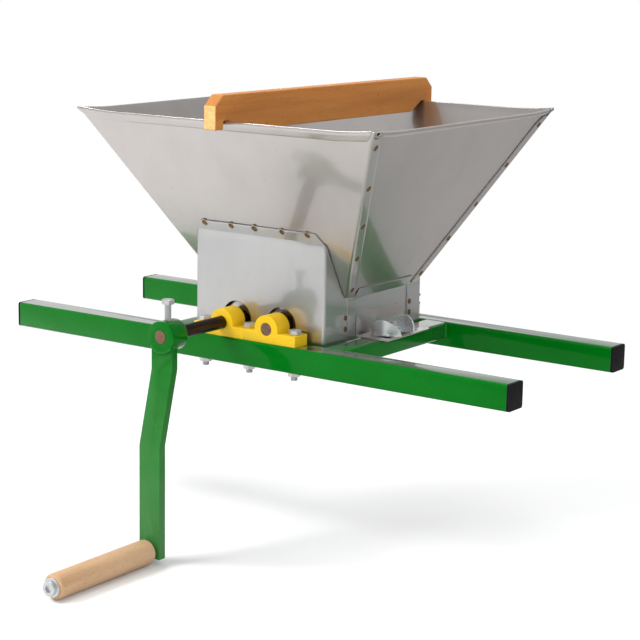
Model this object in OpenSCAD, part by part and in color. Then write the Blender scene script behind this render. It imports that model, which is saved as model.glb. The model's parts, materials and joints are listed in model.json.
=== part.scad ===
// Hand-cranked fruit and grape crusher that rests across the rim of a tub.
// Origin: middle of the front rail's underside. +X runs along the rails, +Y to the rear rail, +Z up.

/* [Frame] */
// Length of each rail, end plugs included
rail_len = 702; // [620:2:900]
// Outside width and height of the square rail tube
rail_w = 30; // [28:1:32]
// Wall of the rail tube
rail_wall = 2.5; // [2:0.5:3]
// Distance between the two rails' centre lines
rail_pitch = 238; // [232:2:260]
// Width of the two crossmember tubes
cross_w = 30; // [26:1:34]
// Height of the crossmember tubes, whose tops are level with the rails
cross_h = 20; // [18:1:24]

/* [Bearings] */
// Diameter of both roller shafts
shaft_d = 15; // [14:0.5:16]
// Distance between the two shafts
shaft_pitch = 64; // [62:1:68]
// Height of the shaft axes above the rails
shaft_rise = 16; // [15:0.5:18]
// Radial running clearance wherever one piece turns on another
running_gap = 0.05; // [0.02:0.01:0.1]
// Depth of a bearing block along the shaft
block_depth = 24; // [20:1:28]
// Height of a block's bolted foot
foot_h = 12.5; // [10:0.5:13]
// Outside diameter of a block's rounded hump
hump_d = 32; // [28:1:34]

/* [Rollers] */
// Diameter of each roller's drum
drum_d = 52; // [46:1:54]
// Tip diameter of the star-toothed blades
blade_d = 65; // [60:1:66]
// Number of blades on each drum
blade_count = 8; // [4:1:8]
// Points on each blade
blade_points = 10; // [8:1:14]
// Teeth on each of the two equal gears
gear_teeth = 20; // [16:1:24]

/* [Crank] */
// Distance from the drive shaft to the grip's axis
crank_radius = 242; // [200:2:260]
// Width of the crank's flat bar
arm_w = 29; // [22:1:30]
// Thickness of the crank's flat bar
arm_t = 10; // [8:1:12]
// How far the bar is set forward, away from the hopper
arm_set = 21; // [14:1:30]
// Outside diameter of the boss
boss_d = 35; // [32:1:38]
// Length of the boss
boss_len = 26; // [22:1:32]
// Diameter of the wooden grip
grip_d = 29; // [25:1:32]
// Length of the wooden grip
grip_len = 154; // [110:1:170]

/* [Hopper] */
// Thickness of the stainless sheet
sheet = 1.2; // [1:0.1:1.5]
// Inside width of the rim
rim_w = 405; // [360:5:440]
// Inside depth of the rim, front to back
rim_depth = 386; // [360:2:400]
// Height of the rim above the rails' underside
rim_z = 284; // [260:2:320]
// Outside width of the neck
neck_w = 185; // [180:1:190]
// Depth of the opening at the bottom of the sloping panels
base_depth = 150; // [146:1:156]
// Height at which the sloping panels start
base_z = 80; // [78:1:84]
// Width of the spot-welded seam flanges
seam_w = 16; // [12:1:17]
// Height of the hem along the front and rear rims
hem_h = 11; // [8:1:14]

/* [Cross bar] */
// Thickness of the wooden bar
bar_t = 17; // [14:1:22]
// Height of the wooden bar between its notches
bar_h = 41; // [34:1:46]
// Length of the wooden bar
bar_len = 424; // [420:2:440]
// Skew of the bar as it lies on the rims, in degrees
bar_skew = 1.6; // [0:0.2:3]

/* [Hidden] */
$fn = 64;
eps = 0.02;
slip = 0.1;

// Frame
cross_x = neck_w / 2 + 4.5;
rail_z = rail_w;
tube_r = 3;
plug_lip = 3;
plug_depth = 14;
rail_tube_len = rail_len - 2 * plug_lip;

// Bearings, bolts and nuts
bolt_d = 8;
bolt_hole_d = 8.4;
hex_af = 13;
hex_d = hex_af / cos(30);
head_h = 5.3;
nut_h = 6.5;
bolt_end = 11;
sleeve_d = 17;
sleeve_z0 = 0.5;
shaft_z = rail_z + shaft_rise;
shaft_x = shaft_pitch / 2;
foot_len = 72.4;
hump_rib = 15;

// Neck and sloping panels; the rear rail is rail_pitch behind the front one
neck_y0 = rail_w / 2 + 2;
neck_y1 = rail_pitch - rail_w / 2 - 4;
neck_foot_z = rail_z - 3;
hopper_y = (rail_pitch + 28) / 2;
base_y0 = hopper_y - base_depth / 2;
rim_y0 = hopper_y - rim_depth / 2;
slope_y = (rim_depth - base_depth) / 2 / (rim_z - base_z);
slope_x = (rim_w - neck_w) / 2 / (rim_z - base_z);
tilt_y = atan(slope_y);
tilt_x = atan(slope_x);
slant_y = (rim_z - base_z) / cos(tilt_y);
slant_x = (rim_z - base_z) / cos(tilt_x);
corner_gap = 0.6;
ear = 3.2 * sheet;
slot_r = 21;
front_return = 47;
rear_return = 30;
hem_t = 3;
roll_r = 2;
neck_flange = 13;

// Rollers
drum_y0 = neck_y0 + sheet + 4;
drum_y1 = neck_y1 - sheet - 4;
drum_end_d = shaft_pitch - 4;
drum_end_t = 3;
blade_t = 4;
blade_root_d = drum_d + 4;
blade_step = (drum_y1 - drum_y0 - 2 * drum_end_t - 16) / blade_count;

// Gears, behind the rear rail
gear_mod = shaft_pitch / gear_teeth;
gear_t = 6;
gear_y0 = rail_pitch + rail_w / 2 + 1.5;
hub_d = 28;
hub_len = 9;
pin_d = 4;
pin_y = gear_y0 + gear_t + hub_len / 2;
shaft_y1 = gear_y0 + gear_t + hub_len + 3;

// Crank
boss_y = -108;
boss_y0 = boss_y - boss_len / 2;
shaft_y0 = boss_y0 - 0.5;
arm_y0 = boss_y0 + 2;
arm_bend_z = 8;
arm_low_z = -75;
arm_end_z = shaft_z - crank_radius - 8.5;
grip_z = shaft_z - crank_radius;
grip_y1 = arm_y0 - arm_set - 4;
grip_y0 = grip_y1 - grip_len;
grip_bolt_d = 10;
clamp_shank = 18;

// Hold-downs
stud_x = 118.5;
stud_y = rail_pitch / 2 + 1;
stud_top = rail_z + 17;
bracket_t = 1.5;
bracket_x1 = 135;
bracket_y0 = 82;
bracket_y1 = 181;
bracket_leg_z = rail_z + 27;
thumb_r = 25;
thumb_h = 18;
thumb_t = 2;
thumb_strip_w = 16;
washer_d = 18;
washer_t = 1.5;
thumb_z = rail_z + bracket_t + washer_t;

// Cross bar
bar_x = 8;
bar_bottom = rim_z - 12.5;
bar_top = bar_bottom + bar_h;
bar_seat = rim_z + 0.05;
notch_w = 9;

GREEN = "forestgreen";
STEEL = "silver";
STAINLESS = "gainsboro";
DARK = "dimgray";
YELLOW = "gold";
WOOD = "burlywood";

// ---------- shared shapes ----------

// Rectangle with rounded corners, centred
module round_rect(w, h, r) {
    square([w - 2 * r, h], center = true);
    square([w, h - 2 * r], center = true);
    for (x = [-1, 1], y = [-1, 1])
        translate([x * (w / 2 - r), y * (h / 2 - r)]) circle(r);
}

// Section of a rectangular tube, centred
module tube_section(w, h, wall) {
    difference() {
        round_rect(w, h, tube_r);
        square([w - 2 * wall, h - 2 * wall], center = true);
    }
}

// Cylinder along +Y from y0 to y1
module rod_y(d, y0, y1) {
    translate([0, y1, 0]) rotate([90, 0, 0]) cylinder(d = d, h = y1 - y0);
}

// Flat outline drawn in X and Z, given thickness from y0 to y1
module plate_y(y0, y1) {
    translate([0, y1, 0]) rotate([90, 0, 0]) linear_extrude(y1 - y0) children();
}

// Flat outline drawn in Y and Z, given thickness from x0 to x1
module plate_x(x0, x1) {
    translate([x0, 0, 0]) rotate([90, 0, 90]) linear_extrude(x1 - x0) children();
}

module at_bolts(y) {
    for (i = [-1:1]) translate([i * 2 * shaft_x, y, 0]) children();
}

// ---------- frame ----------

module rail() {
    color(GREEN) difference() {
        translate([-rail_tube_len / 2, 0, rail_w / 2]) rotate([90, 0, 90])
            linear_extrude(rail_tube_len) tube_section(rail_w, rail_w, rail_wall);
        at_bolts(0) {
            translate([0, 0, rail_w / 2]) cylinder(d = bolt_hole_d, h = rail_w);
            translate([0, 0, -1]) cylinder(d = sleeve_d, h = rail_w / 2);
        }
    }
}

module front_rail() { rail(); }

module rear_rail() { translate([0, rail_pitch, 0]) rail(); }

module right_crossmember() {
    y0 = rail_w / 2;
    color(GREEN) difference() {
        translate([cross_x + cross_w / 2, rail_pitch - y0, rail_z - cross_h / 2]) rotate([90, 0, 0])
            linear_extrude(rail_pitch - 2 * y0) tube_section(cross_w, cross_h, 2);
        translate([stud_x, stud_y, rail_z - 5]) cylinder(d = bolt_d + eps, h = 10);
    }
}

module left_crossmember() { mirror([1, 0, 0]) right_crossmember(); }

module end_plug() {
    inner = rail_w - 2 * rail_wall - 0.4;
    translate([0, 0, rail_w / 2]) rotate([90, 0, 90]) {
        linear_extrude(plug_lip) round_rect(rail_w, rail_w, tube_r);
        translate([0, 0, -plug_depth]) linear_extrude(plug_depth + eps)
            square(inner, center = true);
    }
}

module rail_end_plugs() {
    color(DARK) for (y = [0, rail_pitch], side = [0, 1])
        mirror([side, 0, 0]) translate([rail_tube_len / 2, y, 0]) end_plug();
}

// Sleeves that keep the bolts from crushing the rails, set just inside the underside
module rail_sleeves() {
    color(STEEL) for (y = [0, rail_pitch]) at_bolts(y) difference() {
        translate([0, 0, sleeve_z0]) cylinder(d = sleeve_d - 0.2, h = rail_w - rail_wall - sleeve_z0);
        translate([0, 0, -1]) cylinder(d = bolt_hole_d, h = rail_w);
    }
}

// ---------- bearings ----------

// Block whose inner end meets its neighbour over a shared bolt
module bearing_block() {
    color(YELLOW) difference() {
        plate_y(-block_depth / 2, block_depth / 2) {
            translate([slip, rail_z]) square([foot_len, foot_h]);
            translate([shaft_x, shaft_z]) circle(d = hump_d);
            translate([shaft_x - hump_d / 2, rail_z]) square([hump_d, shaft_rise]);
        }
        translate([shaft_x, 0, shaft_z])
            rod_y(shaft_d + 2 * running_gap, -block_depth, block_depth);
        for (x = [0, 2 * shaft_x])
            translate([x, 0, rail_z - 1]) cylinder(d = bolt_hole_d, h = foot_h + 2);
    }
}

module front_right_bearing() { bearing_block(); }

module front_left_bearing() { mirror([1, 0, 0]) bearing_block(); }

module rear_right_bearing() { translate([0, rail_pitch, 0]) bearing_block(); }

module rear_left_bearing() { translate([0, rail_pitch, 0]) mirror([1, 0, 0]) bearing_block(); }

module bearing_bolts() {
    color(STEEL) for (y = [0, rail_pitch]) at_bolts(y) {
        translate([0, 0, rail_z + foot_h]) cylinder(d = hex_d, h = head_h, $fn = 6);
        translate([0, 0, -bolt_end]) cylinder(d = bolt_d, h = rail_z + foot_h + bolt_end + eps);
    }
}

module bearing_nuts() {
    color(STEEL) for (y = [0, rail_pitch]) at_bolts(y) difference() {
        translate([0, 0, sleeve_z0 - nut_h]) cylinder(d = hex_d, h = nut_h, $fn = 6);
        translate([0, 0, -nut_h - 1]) cylinder(d = bolt_d + 2 * eps, h = nut_h + 2);
    }
}

// ---------- rollers and gears ----------

module drive_side() { translate([-shaft_x, 0, shaft_z]) children(); }

module driven_side() { translate([shaft_x, 0, shaft_z]) children(); }

// Shaft with the cross hole for its gear's pin
module roller_shaft(y0) {
    color(DARK) difference() {
        rod_y(shaft_d, y0, shaft_y1);
        translate([0, pin_y, -shaft_d]) cylinder(d = pin_d + eps, h = 2 * shaft_d);
    }
}

module drum() {
    color(STAINLESS) difference() {
        union() {
            rod_y(drum_d, drum_y0, drum_y1);
            rod_y(drum_end_d, drum_y0, drum_y0 + drum_end_t);
            rod_y(drum_end_d, drum_y1 - drum_end_t, drum_y1);
        }
        rod_y(shaft_d + eps, drum_y0 - 1, drum_y1 + 1);
    }
}

// Star outline with points of radius tip and valleys of radius root
module star(points, tip, root) {
    polygon([for (i = [0:2 * points - 1])
        let (a = 180 * i / points, r = i % 2 == 0 ? tip : root) [r * cos(a), r * sin(a)]]);
}

// Blades threaded on a drum; the two rollers' blades sit half a step apart
module blades(shift) {
    color(STAINLESS) for (i = [0:blade_count - 1]) {
        y = drum_y0 + drum_end_t + 8 + (i + shift) * blade_step;
        difference() {
            plate_y(y, y + blade_t) rotate(i * 13) star(blade_points, blade_d / 2, blade_root_d / 2);
            rod_y(drum_d + eps, y - 1, y + blade_t + 1);
        }
    }
}

// Half the angle of a tooth at radius r, for an involute tooth of a 20 degree gear
function involute(a) = tan(a) * 180 / PI - a;
function half_tooth(r, rb, at_pitch) = at_pitch + involute(20) - involute(acos(rb / max(r, rb)));

module gear_outline(teeth, mod) {
    pitch_r = mod * teeth / 2;
    base_r = pitch_r * cos(20);
    tip_r = pitch_r + 0.9 * mod;
    root_r = pitch_r - 1.2 * mod;
    at_pitch = 90 / teeth - 0.35;
    radii = [root_r, for (i = [0:5]) base_r + (tip_r - base_r) * i / 5];
    flank = [for (r = radii) [r, half_tooth(r, base_r, at_pitch)]];
    n = len(flank);
    polygon([for (t = [0:teeth - 1], j = [0:2 * n - 1])
        let (p = j < n ? [flank[j][0], -flank[j][1]] : [flank[2 * n - 1 - j][0], flank[2 * n - 1 - j][1]],
             a = 360 * t / teeth + p[1])
        [p[0] * cos(a), p[0] * sin(a)]]);
}

module spur_gear(phase) {
    color(DARK) difference() {
        union() {
            plate_y(gear_y0, gear_y0 + gear_t) rotate(phase) gear_outline(gear_teeth, gear_mod);
            rod_y(hub_d, gear_y0 + gear_t - eps, gear_y0 + gear_t + hub_len);
        }
        rod_y(shaft_d + eps, gear_y0 - 1, shaft_y1);
        translate([0, pin_y, -hub_d]) cylinder(d = pin_d + eps, h = 2 * hub_d);
    }
}

module gear_pin() {
    color(STEEL) translate([0, pin_y, -hub_d / 2]) cylinder(d = pin_d, h = hub_d);
}

module drive_shaft() { drive_side() roller_shaft(shaft_y0); }

module drive_drum() { drive_side() drum(); }

module drive_blades() { drive_side() blades(0); }

module drive_gear() { drive_side() spur_gear(0); }

module drive_gear_pin() { drive_side() gear_pin(); }

module driven_shaft() { driven_side() roller_shaft(-block_depth / 2); }

module driven_drum() { driven_side() drum(); }

module driven_blades() { driven_side() blades(0.5); }

// Turned half a tooth when the count is even, so that a gap faces the drive gear's tooth
module driven_gear() {
    phase = gear_teeth % 2 == 0 ? 180 / gear_teeth : 0;
    driven_side() spur_gear(phase);
}

module driven_gear_pin() { driven_side() gear_pin(); }

// ---------- crank ----------

module crank_boss() {
    color(GREEN) drive_side() difference() {
        rod_y(boss_d, boss_y0, boss_y0 + boss_len);
        rod_y(shaft_d + eps, boss_y0 - 1, boss_y0 + boss_len + 1);
        translate([0, boss_y, 0]) cylinder(d = bolt_d + eps, h = boss_d);
    }
}

// Flat bar that cradles the boss and steps forward to clear the frame
module crank_arm() {
    top = shaft_z;
    y1 = arm_y0 + arm_t;
    color(GREEN) difference() {
        translate([-shaft_x, 0, 0]) plate_x(-arm_w / 2, arm_w / 2) polygon([
            [arm_y0, top], [arm_y0, arm_bend_z], [arm_y0 - arm_set, arm_low_z],
            [arm_y0 - arm_set, arm_end_z], [y1 - arm_set, arm_end_z],
            [y1 - arm_set, arm_low_z + 1], [y1, arm_bend_z + 1], [y1, top]
        ]);
        drive_side() rod_y(boss_d + eps, boss_y0 - 1, boss_y0 + boss_len + 1);
        translate([-shaft_x - arm_w, boss_y0 - 1, shaft_z - 10]) cube([2 * arm_w, boss_len + 2, 20]);
        translate([-shaft_x, 0, grip_z]) rod_y(grip_bolt_d + eps, grip_y1, boss_y0 + boss_len);
    }
}

// Hexagon bolt that clamps the boss to the shaft, screwed part of the way in
module crank_clamp_bolt() {
    seat = shaft_d / 2 + eps;
    head = boss_d / 2 + clamp_shank;
    color(STEEL) drive_side() translate([0, boss_y, 0]) {
        translate([0, 0, seat]) cylinder(d = bolt_d, h = head - seat + eps);
        translate([0, 0, head]) cylinder(d = hex_d, h = head_h, $fn = 6);
    }
}

module crank_grip() {
    chamfer = 2.5;
    color(WOOD) translate([-shaft_x, 0, grip_z]) difference() {
        translate([0, grip_y1, 0]) rotate([90, 0, 0]) rotate_extrude() polygon([
            [0, 0], [grip_d / 2 - chamfer, 0], [grip_d / 2, chamfer],
            [grip_d / 2, grip_len - chamfer], [grip_d / 2 - chamfer, grip_len], [0, grip_len]
        ]);
        rod_y(grip_bolt_d + 2 * running_gap, grip_y0 - 1, grip_y1 + 1);
    }
}

module grip_washer() {
    color(STEEL) translate([-shaft_x, 0, grip_z]) difference() {
        rod_y(22, grip_y0 - 2.2, grip_y0 - 0.2);
        rod_y(grip_bolt_d + eps, grip_y0 - 3, grip_y0);
    }
}

// Socket-head bolt that runs through the grip into the bar
module grip_bolt() {
    seat = grip_y0 - 2.2;
    color(STEEL) translate([-shaft_x, 0, grip_z]) difference() {
        union() {
            rod_y(16, seat - 4.5, seat);
            rod_y(grip_bolt_d, seat - eps, arm_y0 - arm_set + arm_t);
        }
        translate([0, seat - 2, 0]) rotate([90, 0, 0]) cylinder(d = 9, h = 5, $fn = 6);
    }
}

// ---------- hopper ----------

// Places a flat shape on the front slope: drawn along X and up the slope, thickening outwards
module on_front_slope() {
    translate([0, base_y0, base_z]) rotate([90 + tilt_y, 0, 0]) children();
}

// Places a flat shape on the right slope: drawn along Y and up the slope, thickening outwards
module on_right_slope() {
    translate([neck_w / 2, 0, base_z]) rotate([0, tilt_x, 0]) rotate([90, 0, 90]) children();
}

module front_to_rear() {
    translate([0, 2 * hopper_y, 0]) mirror([0, 1, 0]) children();
}

// Sloping end panel with its hem and the two seam flanges that wrap onto the side panels
module end_panel() {
    half_base = neck_w / 2 + ear;
    half_rim = rim_w / 2 + ear;
    run = rim_y0 - base_y0;
    seam_top = slant_x - hem_h - 1;
    seam_share = seam_top / slant_x;
    color(STAINLESS) {
        on_front_slope() {
            linear_extrude(sheet) polygon([
                [-half_base, 0], [half_base, 0], [half_rim, slant_y - hem_h], [half_rim, slant_y - roll_r],
                [-half_rim, slant_y - roll_r], [-half_rim, slant_y - hem_h]
            ]);
            translate([-half_rim, slant_y - hem_h, sheet - eps])
                cube([2 * half_rim, hem_h - roll_r, hem_t - sheet]);
            translate([-half_rim, slant_y - roll_r, roll_r - 0.5]) rotate([0, 90, 0])
                cylinder(r = roll_r, h = 2 * half_rim);
        }
        for (side = [0, 1]) mirror([side, 0, 0]) on_right_slope()
            translate([0, 0, sheet + 0.05]) linear_extrude(sheet) polygon([
                [base_y0 - 0.5, 0], [base_y0 + seam_w, 0],
                [base_y0 + seam_w + run * seam_share, seam_top],
                [base_y0 - 0.5 + run * seam_share, seam_top]
            ]);
    }
}

module hopper_front_panel() { end_panel(); }

module hopper_rear_panel() { front_to_rear() end_panel(); }

// Sloping side panel with a folded, rounded rim
module hopper_right_panel() {
    y0 = base_y0 + corner_gap;
    y1 = base_y0 + base_depth - corner_gap;
    run = (rim_y0 - base_y0) * (1 - roll_r / slant_x);
    rim_y1 = rim_y0 + rim_depth;
    hem_y0 = rim_y0 + hem_h * sin(tilt_y) + 2;
    hem_len = rim_y1 - rim_y0 - 2 * (hem_y0 - rim_y0);
    color(STAINLESS) on_right_slope() {
        linear_extrude(sheet) polygon([
            [y0, 0], [y1, 0], [y1 - run, slant_x - roll_r], [y0 + run, slant_x - roll_r]
        ]);
        translate([hem_y0, slant_x - hem_h, sheet - eps]) cube([hem_len, hem_h - roll_r, hem_t - sheet]);
        translate([hem_y0, slant_x - roll_r, roll_r - 0.5]) rotate([0, 90, 0])
            cylinder(r = roll_r, h = hem_len);
    }
}

module hopper_left_panel() { mirror([1, 0, 0]) hopper_right_panel(); }

// Point at distance s up a slope of the given tilt and skin outside it; the slope starts at [start, base_z]
// and leans towards smaller values of the first coordinate
function slope_point(start, tilt, s, skin) =
    [start - s * sin(tilt) - skin * cos(tilt), base_z + s * cos(tilt) - skin * sin(tilt)];

// Upright end of the neck: a face with two open slots for the shafts, side returns cut along the slope,
// and a flange on the sloping panel. The face lies at y = 0 and the slope's lower edge at y = off.
module neck_end(off, side_return) {
    inner = sheet + 0.1;
    outer = inner + sheet;
    s_inner = (off - sheet - inner * cos(tilt_y)) / sin(tilt_y);
    s_outer = (off - outer * cos(tilt_y)) / sin(tilt_y);
    bend_in = slope_point(off, tilt_y, s_inner, inner);
    bend_out = slope_point(off, tilt_y, s_outer, outer);
    foot = slope_point(off, tilt_y, 0, inner);
    s_end = s_outer + neck_flange;
    color(STAINLESS) {
        difference() {
            plate_x(-neck_w / 2, neck_w / 2) polygon([
                [0, neck_foot_z], bend_out, slope_point(off, tilt_y, s_end, outer),
                slope_point(off, tilt_y, s_end, inner), bend_in, [sheet, neck_foot_z]
            ]);
            for (x = [-shaft_x, shaft_x]) plate_y(-1, sheet + 1) {
                translate([x, shaft_z]) circle(slot_r);
                translate([x - slot_r, 0]) square([2 * slot_r, shaft_z]);
            }
        }
        for (side = [0, 1]) mirror([side, 0, 0]) plate_x(neck_w / 2 - sheet, neck_w / 2) polygon([
            [0, neck_foot_z], bend_out, bend_in, foot, [side_return, foot[1]], [side_return, neck_foot_z]
        ]);
    }
}

module neck_front_sheet() { translate([0, neck_y0, 0]) neck_end(base_y0 - neck_y0, front_return); }

module neck_rear_sheet() {
    translate([0, neck_y1, 0]) mirror([0, 1, 0])
        neck_end(neck_y1 - base_y0 - base_depth, rear_return);
}

// Upright side of the neck, lapped inside the returns, with a flange on the sloping side panel
module neck_right_sheet() {
    lap = 9;
    x1 = neck_w / 2 - sheet - 0.05;
    y0 = neck_y0 + front_return - lap;
    y1 = neck_y1 - rear_return + lap;
    flange_y0 = base_y0 + seam_w + 1;
    flange_y1 = neck_y1 - rear_return - 1;
    inner = sheet + 0.1;
    outer = inner + sheet;
    shelf_z = base_z - sheet * sin(tilt_x) - 0.2;
    s_inner = (shelf_z - base_z + inner * sin(tilt_x)) / cos(tilt_x);
    s_outer = (shelf_z - sheet - base_z + outer * sin(tilt_x)) / cos(tilt_x);
    points = [
        slope_point(-neck_w / 2, tilt_x, s_inner, inner),
        slope_point(-neck_w / 2, tilt_x, neck_flange, inner),
        slope_point(-neck_w / 2, tilt_x, neck_flange, outer),
        slope_point(-neck_w / 2, tilt_x, s_outer, outer)
    ];
    color(STAINLESS) {
        plate_x(x1 - sheet, x1) translate([y0, neck_foot_z]) square([y1 - y0, shelf_z - neck_foot_z]);
        plate_y(flange_y0, flange_y1) polygon([
            [x1 - sheet, neck_foot_z], [x1 - sheet, shelf_z], for (p = points) [-p[0], p[1]],
            [x1, shelf_z - sheet], [x1, neck_foot_z]
        ]);
    }
}

module neck_left_sheet() { mirror([1, 0, 0]) neck_right_sheet(); }

// Bent strip inside the neck that keeps fruit over the roller
module neck_right_deflector() {
    wall_x = neck_w / 2 - 2 * sheet - 0.1;
    tip_x = shaft_x + blade_d / 2 + 3;
    tip_z = shaft_z + 8;
    top_z = base_z - 2;
    color(STAINLESS) plate_y(neck_y0 + sheet + 1, neck_y1 - sheet - 1) polygon([
        [wall_x, top_z - 18], [wall_x, top_z], [wall_x - 1, top_z], [tip_x, tip_z],
        [tip_x + 1, tip_z - 1], [wall_x - sheet, top_z - 2], [wall_x - sheet, top_z - 18]
    ]);
}

module neck_left_deflector() { mirror([1, 0, 0]) neck_right_deflector(); }

// Angle welded to the neck's side; its foot lies on the crossmember
module right_hold_down_bracket() {
    foot_x0 = neck_w / 2 + slip;
    foot_w = bracket_x1 - foot_x0;
    foot_d = bracket_y1 - bracket_y0;
    leg_x0 = neck_w / 2 - sheet;
    corner_r = 12;
    color(STAINLESS) {
        difference() {
            translate([0, 0, rail_z]) linear_extrude(bracket_t) {
                translate([foot_x0, bracket_y0]) square([foot_w - corner_r, foot_d]);
                translate([foot_x0, bracket_y0]) square([foot_w, foot_d - corner_r]);
                translate([bracket_x1 - corner_r, bracket_y1 - corner_r]) circle(corner_r);
            }
            translate([stud_x, stud_y, rail_z - 1]) cylinder(d = 9, h = 5);
        }
        plate_x(leg_x0, leg_x0 + bracket_t) polygon([
            [bracket_y0, rail_z], [bracket_y1, rail_z], [bracket_y1, bracket_leg_z - 4],
            [bracket_y1 - 4, bracket_leg_z], [bracket_y0 + 4, bracket_leg_z],
            [bracket_y0, bracket_leg_z - 4]
        ]);
    }
}

module left_hold_down_bracket() { mirror([1, 0, 0]) right_hold_down_bracket(); }

module hold_down_studs() {
    color(STEEL) for (side = [-1, 1]) translate([side * stud_x, stud_y, rail_z - 10])
        cylinder(d = bolt_d, h = stud_top - rail_z + 10);
}

module right_hold_down_washer() {
    color(STEEL) translate([stud_x, stud_y, rail_z + bracket_t]) difference() {
        cylinder(d = washer_d, h = washer_t);
        translate([0, 0, -1]) cylinder(d = bolt_d + 2 * running_gap, h = washer_t + 2);
    }
}

module left_hold_down_washer() { mirror([1, 0, 0]) right_hold_down_washer(); }

// Pressed nut: a strip under a hub, with two upturned lobes that follow a circle
module right_thumb_nut() {
    chord = 21;
    lobe_r = (chord * chord + thumb_h * thumb_h) / (2 * thumb_h);
    color(STEEL) translate([stud_x, stud_y, thumb_z]) difference() {
        union() {
            intersection() {
                difference() {
                    cylinder(r = thumb_r, h = thumb_h);
                    translate([0, 0, -1]) cylinder(r = thumb_r - thumb_t, h = thumb_h + 2);
                }
                translate([0, 0, thumb_h - lobe_r]) rod_y(2 * lobe_r, -thumb_r, thumb_r);
            }
            intersection() {
                cylinder(r = thumb_r, h = thumb_t);
                translate([-thumb_strip_w / 2, -thumb_r, 0]) cube([thumb_strip_w, 2 * thumb_r, thumb_t]);
            }
            cylinder(d = 14, h = 8);
        }
        translate([0, 0, -1]) cylinder(d = bolt_d + 2 * running_gap, h = 12);
    }
}

module left_thumb_nut() { mirror([1, 0, 0]) right_thumb_nut(); }

// ---------- cross bar ----------

// Notched bar that drops over the front and rear rims
module cross_bar() {
    half = bar_len / 2;
    rim = rim_depth / 2;
    lip = rim + 5;
    inner = lip - notch_w;
    low = inner - (bar_seat - bar_bottom) / slope_y;
    side = [
        [0, bar_bottom], [low, bar_bottom], [inner, bar_seat], [lip, bar_seat],
        [lip, bar_bottom + 3], [half, bar_bottom + 3], [half, bar_top - 12], [half - 13, bar_top],
        [0, bar_top]
    ];
    color(WOOD) translate([bar_x, hopper_y, 0]) rotate(-bar_skew) for (end = [0, 1])
        mirror([0, end, 0]) plate_x(-bar_t / 2, bar_t / 2) polygon(side);
}

front_rail();
rear_rail();
left_crossmember();
right_crossmember();
rail_end_plugs();
rail_sleeves();
front_left_bearing();
front_right_bearing();
rear_left_bearing();
rear_right_bearing();
bearing_bolts();
bearing_nuts();
hold_down_studs();
drive_shaft();
drive_drum();
drive_blades();
drive_gear();
drive_gear_pin();
crank_boss();
crank_arm();
crank_clamp_bolt();
grip_bolt();
grip_washer();
crank_grip();
driven_shaft();
driven_drum();
driven_blades();
driven_gear();
driven_gear_pin();
hopper_front_panel();
hopper_rear_panel();
hopper_left_panel();
hopper_right_panel();
neck_front_sheet();
neck_rear_sheet();
neck_left_sheet();
neck_right_sheet();
neck_left_deflector();
neck_right_deflector();
left_hold_down_bracket();
right_hold_down_bracket();
left_hold_down_washer();
right_hold_down_washer();
left_thumb_nut();
right_thumb_nut();
cross_bar();
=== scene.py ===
import json
import math
import random

import bmesh
import bpy
from mathutils import Matrix, Vector, noise


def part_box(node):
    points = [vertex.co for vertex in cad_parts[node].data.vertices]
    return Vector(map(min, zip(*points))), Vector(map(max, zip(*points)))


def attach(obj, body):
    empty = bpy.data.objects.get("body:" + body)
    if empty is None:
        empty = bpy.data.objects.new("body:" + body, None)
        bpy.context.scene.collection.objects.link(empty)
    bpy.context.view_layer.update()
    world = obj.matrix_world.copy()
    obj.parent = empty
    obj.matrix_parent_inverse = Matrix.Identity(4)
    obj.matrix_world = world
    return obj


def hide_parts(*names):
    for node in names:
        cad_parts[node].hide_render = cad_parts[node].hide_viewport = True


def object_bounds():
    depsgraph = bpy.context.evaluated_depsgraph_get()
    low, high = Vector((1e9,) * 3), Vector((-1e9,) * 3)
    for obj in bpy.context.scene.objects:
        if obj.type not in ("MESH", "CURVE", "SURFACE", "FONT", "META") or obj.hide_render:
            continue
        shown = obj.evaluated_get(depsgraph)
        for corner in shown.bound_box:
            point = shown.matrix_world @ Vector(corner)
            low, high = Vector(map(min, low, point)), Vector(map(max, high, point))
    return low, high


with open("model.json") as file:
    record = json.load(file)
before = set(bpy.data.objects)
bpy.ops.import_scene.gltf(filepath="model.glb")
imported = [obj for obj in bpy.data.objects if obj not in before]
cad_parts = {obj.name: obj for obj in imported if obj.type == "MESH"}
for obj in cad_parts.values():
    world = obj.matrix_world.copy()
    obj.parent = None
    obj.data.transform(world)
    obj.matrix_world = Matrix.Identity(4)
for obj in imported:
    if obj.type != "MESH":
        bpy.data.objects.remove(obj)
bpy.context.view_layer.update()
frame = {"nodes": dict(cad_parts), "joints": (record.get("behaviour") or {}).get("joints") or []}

MM = 0.001
UP = Vector((0, 0, 1))

# Sheet metal, in millimetres: thickness, width of a seam flange, play between two sheets
SHEET = 1.2
HALF = SHEET / 2
SEAM = 16.0
PLAY = 0.1

# M8 fasteners, in millimetres
M8 = 8.0
HEX = 13.0
HEAD = 5.3
COLLAR_R = 6.1

rng = random.Random(7)


# ---------- places read from the frame, in millimetres ----------

def lo(node):
    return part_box(node)[0] / MM


def hi(node):
    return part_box(node)[1] / MM


def joint_at(name):
    """Place of a joint, in millimetres."""
    joint = next(j for j in frame["joints"] if j["name"] == name)
    return Vector(joint["pos_m"]) / MM


class Flat:
    """Largest flat face of a CAD node that looks the given way: a point on it and its normal."""

    def __init__(self, node, toward):
        mesh = frame["nodes"][node].data
        face = max(mesh.polygons, key=lambda p: p.area if p.normal.dot(Vector(toward)) > 0.5 else 0)
        self.point = face.center / MM
        self.normal = face.normal.copy()

    def y(self, z):
        return self.point.y - self.normal.z * (z - self.point.z) / self.normal.y

    def x(self, z):
        return self.point.x - self.normal.z * (z - self.point.z) / self.normal.x


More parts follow.
